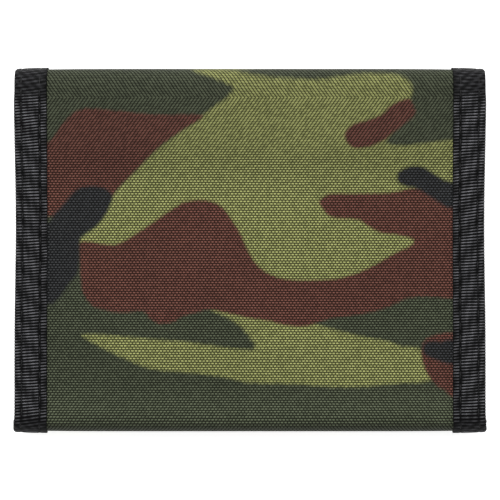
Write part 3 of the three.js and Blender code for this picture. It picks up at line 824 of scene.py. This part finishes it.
# --------------------------------------------------------------- properties
def tint(name, description, red, green, blue):
    """A colour property with a display colour as its default."""
    return bpy.props.FloatVectorProperty(
        name=name, description=description, subtype="COLOR", size=3, min=0, max=1,
        default=linear(red, green, blue)[:3],
    )


def length(name, description, millimetres):
    """A length property with its default in millimetres."""
    return bpy.props.FloatProperty(
        name=name, description=description, default=millimetres * MM, unit="LENGTH"
    )


class WalletColours(bpy.types.PropertyGroup):
    """Colours of the wallet's cloths and fittings."""

    light_olive: tint("Light olive", "Lightest colour of the print", 119, 122, 75)
    brown: tint("Brown", "Warm colour of the print", 84, 53, 45)
    dark_green: tint("Dark green", "Ground colour of the print", 62, 67, 52)
    black: tint("Black", "Darkest colour of the print", 40, 41, 42)
    lining: tint("Lining", "Colour of the pack cloth inside", 38, 39, 41)
    tape: tint("Tape", "Colour of the binding tapes", 46, 46, 48)
    coil: tint("Zip coil", "Colour of the zip's teeth", 34, 34, 36)
    metal: tint("Zip metal", "Colour of the slider, pull and stops", 70, 71, 74)


class WalletSizes(bpy.types.PropertyGroup):
    """Sizes of the wallet's soft shapes."""

    cloth_step: length("Cloth step", "Spacing of the shell's mesh", 0.6)
    cloth_inset: length("Cloth inset", "Tape's outer edge to the cloth's edge", 1.3)
    stitch_pitch: length("Stitch pitch", "Middle to middle of the stitches", 3.1)
    hook_pitch: length("Hook pitch", "Spacing of the closure's hooks", 1.7)
    tooth_pitch: length("Tooth pitch", "Spacing of one row of zip teeth", 1.5)
    lens: bpy.props.FloatProperty(
        name="Lens", description="Focal length of the camera", default=250.0, unit="CAMERA"
    )


# ---------------------------------------------------------------- operators
class WALLET_OT_shell(bpy.types.Operator):
    """Makes the printed outer cloth, which runs round all four folds."""

    bl_idname = "wallet.shell"
    bl_label = "Shell"

    def execute(self, context):
        """Each station's loop is the outside face from side to side and the inside face back."""
        sizes = context.scene.wallet_sizes
        half, step = HALF_WIDTH - sizes.cloth_inset / MM, sizes.cloth_step / MM
        face = stations(-half, half, step)
        back = np.linspace(half, -half, 24)
        x = np.concatenate([face, back])[None]
        depth = np.concatenate([0 * face, 0 * back + SHELL_IN])[None]

        def build(name, low, high):
            s = stations(max(low, END_ROOM), min(high, S_END - END_ROOM), step)[:, None]
            xs, ss, ds = np.broadcast_arrays(x, s, depth)
            material, uv = finishes()["Camouflage cloth"], np.stack([xs, ss], -1)
            return make_piece(
                name, place(xs, ss, ds), material, uv=uv, fields=camouflage(xs, ss)
            )

        layer_parts("shell", "shell", build)
        return {"FINISHED"}


class WALLET_OT_lining(bpy.types.Operator):
    """Makes the pack cloth that lines the bill compartment and carries the pockets."""

    bl_idname = "wallet.lining"
    bl_label = "Lining"

    def execute(self, context):
        """The same section as the shell's at the lining's depth, with slight slack ripples."""
        half = HALF_WIDTH - context.scene.wallet_sizes.cloth_inset / MM
        face = stations(-half, half, 1.6)
        x = np.concatenate([face, face[::-1]])[None]
        depth = np.concatenate([0 * face + LINING_IN, 0 * face + LINING_OUT])[None]

        def build(name, low, high):
            s = stations(max(low, END_ROOM), min(high, S_END - END_ROOM), 0.8)[:, None]
            slack = 0.04 * np.sin(x / 7 + s / 5) * np.sin(s / 9 + 1)
            xs, ss, ds = np.broadcast_arrays(x, s, depth)
            material, uv = finishes()["Black pack cloth"], np.stack([xs, ss], -1)
            return make_piece(name, place(xs, ss, ds + slack), material, uv=uv)

        layer_parts("lining", "lining", build)
        return {"FINISHED"}


class WALLET_OT_side_tapes(bpy.types.Operator):
    """Makes the ribbed side tapes: one round everything at the left, two at the right beside the opening."""

    bl_idname = "wallet.side_tapes"
    bl_label = "Side tapes"

    def execute(self, context):
        """Carries each tape's section along the strip, then sets the seams' stitches in its grooves."""
        layer_parts("left_tape", "binding_left", side_tape(-1, TAPE_OUT, TAPE_IN, True, True))
        layer_parts("right_shell_tape", "shell_binding_right", side_tape(1, TAPE_OUT, 1.3, True, False))
        layer_parts("right_lining_tape", "lining_binding_right", side_tape(1, 1.4, TAPE_IN, False, True))
        pitch = context.scene.wallet_sizes.stitch_pitch / MM

        def build(name, low, high):
            s = np.arange(math.ceil(low / pitch), math.floor(high / pitch) + 1) * pitch
            s = s[(s > low + 1.2) & (s < high - 1.2)]
            rows = []
            sunk = THREAD_SINK + 0.2 * calm_at(s)
            for side in (-1, 1):
                for e in STITCH_ROWS:
                    x = side_place(side, e, s)
                    rows.append(thread_lofts(x, s, TAPE_OUT + sunk, False, -1))
                    rows.append(thread_lofts(x, s, TAPE_IN - sunk, False, 1))
            xs, ss, ds = (np.concatenate(values) for values in zip(*rows))
            return make_piece(name, place(xs, ss, ds), finishes()["Sewing thread"])

        layer_parts("tape_stitches", None, build)
        return {"FINISHED"}


class WALLET_OT_end_tapes(bpy.types.Operator):
    """Makes the ribbed tapes round the free edges of the two flaps."""

    bl_idname = "wallet.end_tapes"
    bl_label = "End tapes"

    def tuck(self, flap, edge, inwards, base):
        """Closes the side tapes at the free edge with folded-in tape: a squarish bar along x at each corner."""
        turn = ring_turns(16)
        x = np.linspace(TAPE_COVER - 0.2, TAPE_BEND, 9)[None, :, None]
        side = np.array([-1, 1])[:, None, None]
        middle = (TAPE_OUT + TAPE_IN) / 2
        y = edge + inwards * (0.55 + 0.5 * squarish(np.cos(turn)))
        z = base + middle + (TAPE_IN - middle - 0.38) * squarish(np.sin(turn))
        points = np.stack(np.broadcast_arrays(side * (HALF_WIDTH - x), y, z), -1) * MM
        piece = make_piece(f"{flap}_end_tuck", points, finishes()["Black binding tape"])
        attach(piece, flap)

    def execute(self, context):
        """The tape's section stands across the strip and is carried along x, between the side tapes."""
        pitch = context.scene.wallet_sizes.stitch_pitch / MM
        for flap, at_end in (("outer_flap", False), ("inner_flap", True)):
            node = f"{flap}_end_binding"
            low, high = node_box(node)
            edge, inwards = (high[1], -1) if at_end else (low[1], 1)
            base = FOLD_AT[3 if at_end else 0][1] - NEUTRAL
            e, depth, push_e, push_n, share = tape_legs(min(high[1] - low[1], TAPE_COVER), TAPE_OUT, TAPE_IN)
            x = stations(low[0] + 0.05, high[0] - 0.05, TAPE_STEP)[:, None]
            relief = tape_relief(e[None], x, 0) * share[None]
            y = edge + inwards * (e[None] + push_e[None] * relief * PUSH_SIDEWAYS)
            z = base + depth[None] + push_n[None] * relief
            grid = np.stack(np.broadcast_arrays(x, y, z), -1) * MM
            uv = np.stack(np.broadcast_arrays(e[None], x), -1)
            # The rib attribute is painted light: highlight on the crests, shade between the ribs.
            fields = {"rib": painted_rib_light(e[None], x, 0, share[None])}
            material = finishes()["Black binding tape"]
            piece = make_piece(f"{flap}_end_tape", grid, material, uv=uv, fields=fields, sharp=75)
            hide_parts(node)
            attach(piece, flap)
            at = stations(low[0] + 2.5, high[0] - 2.5, pitch)
            rows = []
            for row in STITCH_ROWS:
                y_row = edge + inwards * row + 0 * at
                rows.append(thread_lofts(at, y_row, 0 * at + base + TAPE_OUT + THREAD_SINK, True, -1))
                rows.append(thread_lofts(at, y_row, 0 * at + base + TAPE_IN - THREAD_SINK, True, 1))
            points = np.stack([np.concatenate(values) for values in zip(*rows)], -1) * MM
            stitches = make_piece(f"{flap}_end_stitches", points, finishes()["Sewing thread"])
            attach(stitches, flap)
            self.tuck(flap, edge, inwards, base)
        return {"FINISHED"}


def panel_sheet(name, node, body, finish, top, mouth=None, corner=0.6, seam=None, relief=None, step=0.8):
    """A flat sewn sheet in a node's box, with rounded corners, softened edges and a sunk seam.

    u and v run from 0 to 1 over the box. The half width shrinks near both ends by a quarter
    circle, the exposed face falls away near every edge by a quarter circle, and dips along a
    line seam millimetres inside the edges. mouth(x) moves the first edge; relief(x, y) adds to
    the exposed face. top is 1 where that face looks up and -1 where it looks down.
    """
    low, high = node_box(node)
    y = stations(low[1], high[1], step)[:, None]
    v = (y - low[1]) / (high[1] - low[1])
    end = np.clip(corner - np.minimum(y - low[1], high[1] - y), 0, corner)
    half = (high[0] - low[0]) / 2 - (corner - np.sqrt(np.clip(corner**2 - end**2, 0, None)))
    u = np.linspace(-1, 1, max(2, int((high[0] - low[0]) / step)))[None]
    x = u * half + (low[0] + high[0]) / 2
    y = y + 0 * u
    if mouth is not None:
        y = y + (1 - v) * mouth(x)
    margin = np.minimum((1 - np.abs(u)) * half, np.minimum(v, 1 - v) * (high[1] - low[1]))
    soft = 0.25
    fall = soft - np.sqrt(np.clip(soft**2 - np.clip(soft - margin, 0, soft) ** 2, 0, None))
    if seam is not None:
        fall = fall + 0.12 * np.exp(-(((margin - seam) / 0.35) ** 2))
    thick = high[2] - low[2]
    if relief is not None:
        fall = fall - relief(x, y) * smooth(margin / 2)
    face = (high[2] - np.minimum(fall, thick * 0.8)) if top > 0 else (low[2] + np.minimum(fall, thick * 0.8))
    back = 0 * x + (low[2] if top > 0 else high[2])
    rise = lift(x, y) if body == "centre" else 0
    front = np.stack([x, y, face + rise], -1)
    rear = np.stack([x, y, back + rise], -1)
    loop = np.concatenate([front, rear[:, ::-1]], 1) * MM
    piece = make_piece(name, loop, finishes()[finish])
    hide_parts(node)
    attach(piece, body)


def panel_stitches(name, body, paths, z, up):
    """Stitches along straight seams on a flat panel. Each path is (x0, y0, x1, y1)."""
    pitch = bpy.context.scene.wallet_sizes.stitch_pitch / MM
    rows = []
    for x0, y0, x1, y1 in paths:
        along_x = abs(x1 - x0) > abs(y1 - y0)
        count = max(2, int(max(abs(x1 - x0), abs(y1 - y0)) / pitch))
        t = (np.arange(count) + 0.5) / count
        rows.append(thread_lofts(x0 + (x1 - x0) * t, y0 + (y1 - y0) * t, 0 * t + z, along_x, up))
    xs, ys, zs = (np.concatenate(values) for values in zip(*rows))
    if body == "centre":
        zs = zs + lift(xs, ys)
    piece = make_piece(name, np.stack([xs, ys, zs], -1) * MM, finishes()["Lining thread"])
    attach(piece, body)


def border_paths(low, high, inset):
    """The four sides of a box, inset."""
    x0, y0, x1, y1 = low[0] + inset, low[1] + inset, high[0] - inset, high[1] - inset
    return [(x0, y0, x1, y0), (x0, y1, x1, y1), (x0, y0, x0, y1), (x1, y0, x1, y1)]


def rounded_block(name, node, body, finish):
    """A pillow block in a node's box: squarish rings along x that shrink to the caps by a parabola."""
    low, high = node_box(node)
    middle, half = (low + high) / 2, (high - low) / 2
    t = np.linspace(-1, 1, 11)[:, None]
    shrink = 1 - np.clip((np.abs(t) - 0.6) / 0.4, 0, 1) ** 2 * 0.5
    turn = ring_turns(24)[0]
    x = middle[0] + half[0] * t
    y = middle[1] + half[1] * shrink * squarish(np.cos(turn))
    z = middle[2] + half[2] * shrink * squarish(np.sin(turn))
    points = np.stack(np.broadcast_arrays(x, y, z), -1) * MM
    piece = make_piece(name, points, finishes()[finish])
    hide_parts(node)
    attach(piece, body)


class WALLET_OT_closure(bpy.types.Operator):
    """Makes the hook patch and the loop patch of the closure."""

    bl_idname = "wallet.closure"
    bl_label = "Closure patches"

    def execute(self, context):
        """The hook patch is a thin base with rows of bent hooks; the loop patch is a matted pile."""
        low, high = node_box("hook_patch")
        panel_sheet(
            "hook_base", "hook_patch", "outer_flap", "Hook tape", 1,
            corner=PATCH_CORNER, relief=lambda x, y: 0 * x - 0.55, step=0.7,
        )
        pitch = context.scene.wallet_sizes.hook_pitch / MM
        columns, rows = (stations(low[i] + 2, high[i] - 2, pitch) for i in (0, 1))
        cx, cy = (at.ravel()[:, None, None] for at in np.meshgrid(columns, rows))
        t = np.linspace(0, 1, 6)[None, :, None]
        turn = ring_turns(5)
        radius = 0.14 * (1 - 0.6 * t)
        bend = 0.35 * np.sin(t * 2.6) * np.where((cy / pitch).astype(int) % 2 == 0, 1, -1)
        root, rise = low[2] + 0.35, high[2] - low[2] - 0.5
        x, y = cx + radius * np.cos(turn), cy + bend + radius * np.sin(turn)
        z = root + rise * np.sin(t * 1.9) / 0.95
        hooks = np.stack(np.broadcast_arrays(x, y, z), -1) * MM
        piece = make_piece("hook_rows", hooks, finishes()["Hook tape"])
        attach(piece, "outer_flap")
        border = border_paths(low, high, 1.4)
        panel_stitches("hook_stitches", "outer_flap", border, low[2] + 0.5, 1)

        def fuzz(x, y):
            return 0.12 * np.sin(x * 3.1 + np.sin(y * 2.3)) * np.sin(y * 3.7 + np.sin(x * 1.9)) - 0.12

        panel_sheet(
            "loop_pile", "loop_patch", "inner_flap", "Loop tape", -1,
            corner=PATCH_CORNER, seam=1.4, relief=fuzz, step=0.45,
        )
        return {"FINISHED"}


class WALLET_OT_coin_pocket(bpy.types.Operator):
    """Makes the coin pocket's cloth below and above its zip."""

    bl_idname = "wallet.coin_pocket"
    bl_label = "Coin pocket"

    def execute(self, context):
        """Two sewn sheets, the lower one slightly full."""
        seam = 1.6

        def swell(x, y):
            return 0.1 * np.sin(x / 11 + 0.4) * np.sin(y / 6)

        for node in ("coin_pocket_front", "coin_pocket_top_strip"):
            panel_sheet(
                f"{node}_cloth", node, "outer_flap", "Black pack cloth", 1,
                seam=seam, relief=swell,
            )
            low, high = node_box(node)
            panel_stitches(f"{node}_stitches", "outer_flap", border_paths(low, high, seam), high[2] - 0.1, 1)
        return {"FINISHED"}


class WALLET_OT_zip(bpy.types.Operator):
    """Makes the zip's tapes, teeth and end stops, and gives the frame's slider and pull their metal finish."""

    bl_idname = "wallet.zip"
    bl_label = "Zip"

    def execute(self, context):
        """Teeth are looped beads across the zip's middle, shifted by half a pitch from row to row."""
        for row, side in (("lower", -1), ("upper", 1)):
            cloth = f"zip_{row}_cloth"
            panel_sheet(cloth, f"zip_tape_{row}", "outer_flap", "Zip tape", 1, step=0.5)
            low, high = node_box(f"zip_coil_{row}")
            pitch = context.scene.wallet_sizes.tooth_pitch / MM
            at = np.arange(low[0] + 0.8, high[0] - 0.8, pitch) + (pitch / 2 if side > 0 else 0)
            t = np.linspace(0, 1, 8)[None, :, None]
            turn = ring_turns(6)
            inner, outer = (high[1], low[1]) if side < 0 else (low[1], high[1])
            angle = math.pi * (0.08 + 1.84 * t)
            y = (inner + outer) / 2 + (inner - outer) / 2 * 0.82 * -np.cos(angle)
            z = (low[2] + high[2]) / 2 + (high[2] - low[2]) / 2 * 0.7 * np.sin(angle)
            radius = 0.2 * (1 + 0.5 * np.exp(-(((t - 0.5) / 0.12) ** 2)))
            x = at[:, None, None] + 0.25 * np.sin(angle / 2) + radius * np.cos(turn)
            y = y + radius * np.sin(turn) * np.cos(angle)
            z = z + radius * np.sin(turn) * np.abs(np.sin(angle))
            points = np.stack(np.broadcast_arrays(x, y, z), -1)
            teeth = make_piece(f"zip_{row}_teeth", points * MM, finishes()["Zip coil"])
            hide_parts(f"zip_coil_{row}")
            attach(teeth, "outer_flap")
            seam = outer + side * 1.2
            path = (low[0], seam, high[0], seam)
            panel_stitches(f"zip_{row}_stitches", "outer_flap", [path], low[2] - 0.05, 1)
        for node in ("zip_stop_left", "zip_stop_right"):
            rounded_block(f"{node}_crimp", node, "outer_flap", "Zip metal")
        for node in ("zip_slider", "zip_pull"):
            materials = frame["nodes"][node].data.materials
            materials.clear()
            materials.append(finishes()["Zip metal"])
        return {"FINISHED"}


class WALLET_OT_card_slots(bpy.types.Operator):
    """Makes the staggered card slots, each with a thumb notch and a hemmed mouth."""

    bl_idname = "wallet.card_slots"
    bl_label = "Card slots"

    def execute(self, context):
        """The mouth has an S-curved notch at its middle; its hem is a raised band with a seam."""
        side_seam, hem_seam = 1.4, 3.4

        def notch(x):
            return 3.0 * smooth((11 - np.abs(x)) / 7)

        for k in (1, 2, 3):
            node = f"card_pocket_{k}"
            low, high = node_box(node)

            def hem(x, y, low=low, k=k):
                mouth = y - low[1] - notch(x)
                return 0.2 * smooth((4.2 - mouth) / 0.6) + 0.06 * np.sin(x / 13 + k) * np.sin(y / 9)

            panel_sheet(
                f"card_slot_{k}", node, "inner_flap", "Black pack cloth", 1,
                mouth=notch, relief=hem, step=0.7,
            )
            left, right, hem_y = low[0] + side_seam, high[0] - side_seam, low[1] + hem_seam
            sides = [(x, low[1] + 1, x, high[1] - 1) for x in (left, right)]
            mouths = [(low[0] + 2, hem_y, -12, hem_y), (12, hem_y, high[0] - 2, hem_y)]
            panel_stitches(f"card_slot_{k}_stitches", "inner_flap", sides + mouths, high[2] + 0.05, 1)
        return {"FINISHED"}


class WALLET_OT_window(bpy.types.Operator):
    """Makes the clear identity window and its sewn frame."""

    bl_idname = "wallet.window"
    bl_label = "Identity window"

    def execute(self, context):
        """The frame is a ring: a small section carried round, from the outer to the inner rounded rectangle."""
        panel_sheet("window_film", "id_window_film", "centre", "Clear film", -1, step=1.5)
        low, high = node_box("id_window_frame")
        middle, half = (low + high) / 2, (high - low) / 2
        border = 8.0

        def walk(hx, hy, radius):
            """Even points round a rounded rectangle: quarter circles about its corners, joined by straights."""
            per_corner = 40
            corner = np.repeat([(1, 1), (-1, 1), (-1, -1), (1, -1)], per_corner, 0).astype(float)
            angle = np.concatenate([np.linspace(q, q + 1, per_corner) for q in range(4)]) * math.pi / 2
            ring = np.stack([np.cos(angle), np.sin(angle)], -1)
            path = corner * np.array([hx - radius, hy - radius]) + ring * radius
            closed = np.concatenate([path, path[:1]])
            so_far = np.concatenate([[0], np.cumsum(np.linalg.norm(np.diff(closed, axis=0), axis=1))])
            share = np.linspace(0, 1, 321)[:-1] * so_far[-1]
            return np.stack([np.interp(share, so_far, closed[:, i]) for i in (0, 1)], -1)

        outer = walk(half[0], half[1], 2.0)[:, None]
        opening = walk(half[0] - border, half[1] - border, 4.0)[:, None]
        # The section: how far across the border each of its points lies, and how far below the face.
        across = np.array([0, 0.02, 0.06, 0.16, 0.2, 0.24, 0.5, 0.76, 0.8, 0.84, 0.94, 0.98, 1, 1, 0.5, 0])
        fall = np.array([0.3, 0.1, 0, 0.02, 0.14, 0.02, -0.05, 0.02, 0.14, 0.02, 0, 0.1, 0.3, 0.7, 0.7, 0.7])
        across = across[None, :, None]
        xy = outer * (1 - across) + opening * across + middle[:2]
        z = low[2] + fall[None] + lift(xy[..., 0], xy[..., 1])
        ring = np.concatenate([xy, z[..., None]], -1)[None] * MM
        piece = make_piece("window_frame", ring, finishes()["Window frame"], ring=True)
        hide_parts("id_window_frame")
        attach(piece, "centre")
        paths = border_paths(low, high, 1.6) + border_paths(low, high, border - 1.6)
        panel_stitches("window_stitches", "centre", paths, low[2] + 0.12, -1)
        return {"FINISHED"}


class WALLET_OT_stage(bpy.types.Operator):
    """Makes the pale floor, the soft lights and the camera straight above."""

    bl_idname = "wallet.stage"
    bl_label = "Stage"

    def floor(self):
        """A wide square just under the wallet, partly lit by itself so that it stays pale."""
        half = 3
        corners = [(-half, -half, 0), (half, -half, 0), (half, half, 0), (-half, half, 0)]
        mesh = bpy.data.meshes.new("floor")
        mesh.from_pydata(corners, [], [(0, 1, 2, 3)])
        material, tree, shader = new_material("Pale floor", 0.9, Specular_IOR_Level=0.1)
        shader.inputs["Base Color"].default_value = (0.93, 0.93, 0.93, 1)
        shader.inputs["Emission Color"].default_value = (1, 1, 1, 1)
        shader.inputs["Emission Strength"].default_value = 0.66
        mesh.materials.append(material)
        floor = bpy.data.objects.new("floor", mesh)
        floor.location.z = -FLOOR_DROP * MM
        bpy.context.scene.collection.objects.link(floor)

    def execute(self, context):
        """The camera stands where the wallet's face is VIEW_WIDTH wide across the frame."""
        scene = context.scene
        self.floor()
        world = bpy.data.worlds.new("Soft room")
        world.use_nodes = True
        world.node_tree.nodes["Background"].inputs[0].default_value = (1, 1, 1, 1)
        world.node_tree.nodes["Background"].inputs[1].default_value = 0.44
        scene.world = world
        for name, location, size, energy in LIGHTS:
            light = bpy.data.lights.new(name, "AREA")
            light.energy, light.size = energy, size
            lamp = bpy.data.objects.new(name, light)
            lamp.location = location
            x, y, z = location
            lamp.rotation_euler = (math.atan2(math.hypot(x, y), z), 0, math.atan2(x, -y))
            scene.collection.objects.link(lamp)
        lens = scene.wallet_sizes.lens
        camera = bpy.data.cameras.new("camera")
        camera.lens, camera.sensor_width = lens, 36.0
        camera.clip_start = 0.01
        eye = bpy.data.objects.new("camera", camera)
        eye.location = (0, 0, CAD_BOX[1].z + VIEW_WIDTH * MM * lens / camera.sensor_width)
        scene.collection.objects.link(eye)
        scene.camera = eye
        scene.view_settings.view_transform = "Standard"
        return {"FINISHED"}


class WALLET_PT_panel(bpy.types.Panel):
    """Sidebar panel with the wallet's pieces."""

    bl_label = "Trifold Wallet"
    bl_idname = "WALLET_PT_panel"
    bl_space_type = "VIEW_3D"
    bl_region_type = "UI"
    bl_category = "Wallet"

    def draw(self, context):
        """Lists the sizes, the colours and one button for each group of pieces."""
        for group in (context.scene.wallet_sizes, context.scene.wallet_colours):
            for key in group.__annotations__:
                self.layout.prop(group, key)
        for operator in OPERATORS:
            self.layout.operator(operator.bl_idname)


OPERATORS = (
    WALLET_OT_stage,
    WALLET_OT_shell,
    WALLET_OT_lining,
    WALLET_OT_side_tapes,
    WALLET_OT_end_tapes,
    WALLET_OT_closure,
    WALLET_OT_coin_pocket,
    WALLET_OT_zip,
    WALLET_OT_card_slots,
    WALLET_OT_window,
)
CLASSES = (WalletColours, WalletSizes, *OPERATORS, WALLET_PT_panel)


def register():
    """Registers the classes and hangs the two property groups on the scene."""
    for cls in CLASSES:
        bpy.utils.register_class(cls)
    bpy.types.Scene.wallet_colours = bpy.props.PointerProperty(type=WalletColours)
    bpy.types.Scene.wallet_sizes = bpy.props.PointerProperty(type=WalletSizes)


def unregister():
    """Takes the property groups and the classes away again."""
    del bpy.types.Scene.wallet_sizes, bpy.types.Scene.wallet_colours
    for cls in reversed(CLASSES):
        bpy.utils.unregister_class(cls)


def main():
    """Builds every piece in order."""
    register()
    for operator in OPERATORS:
        group, name = operator.bl_idname.split(".")
        getattr(getattr(bpy.ops, group), name)()


if __name__ == "__main__":
    main()
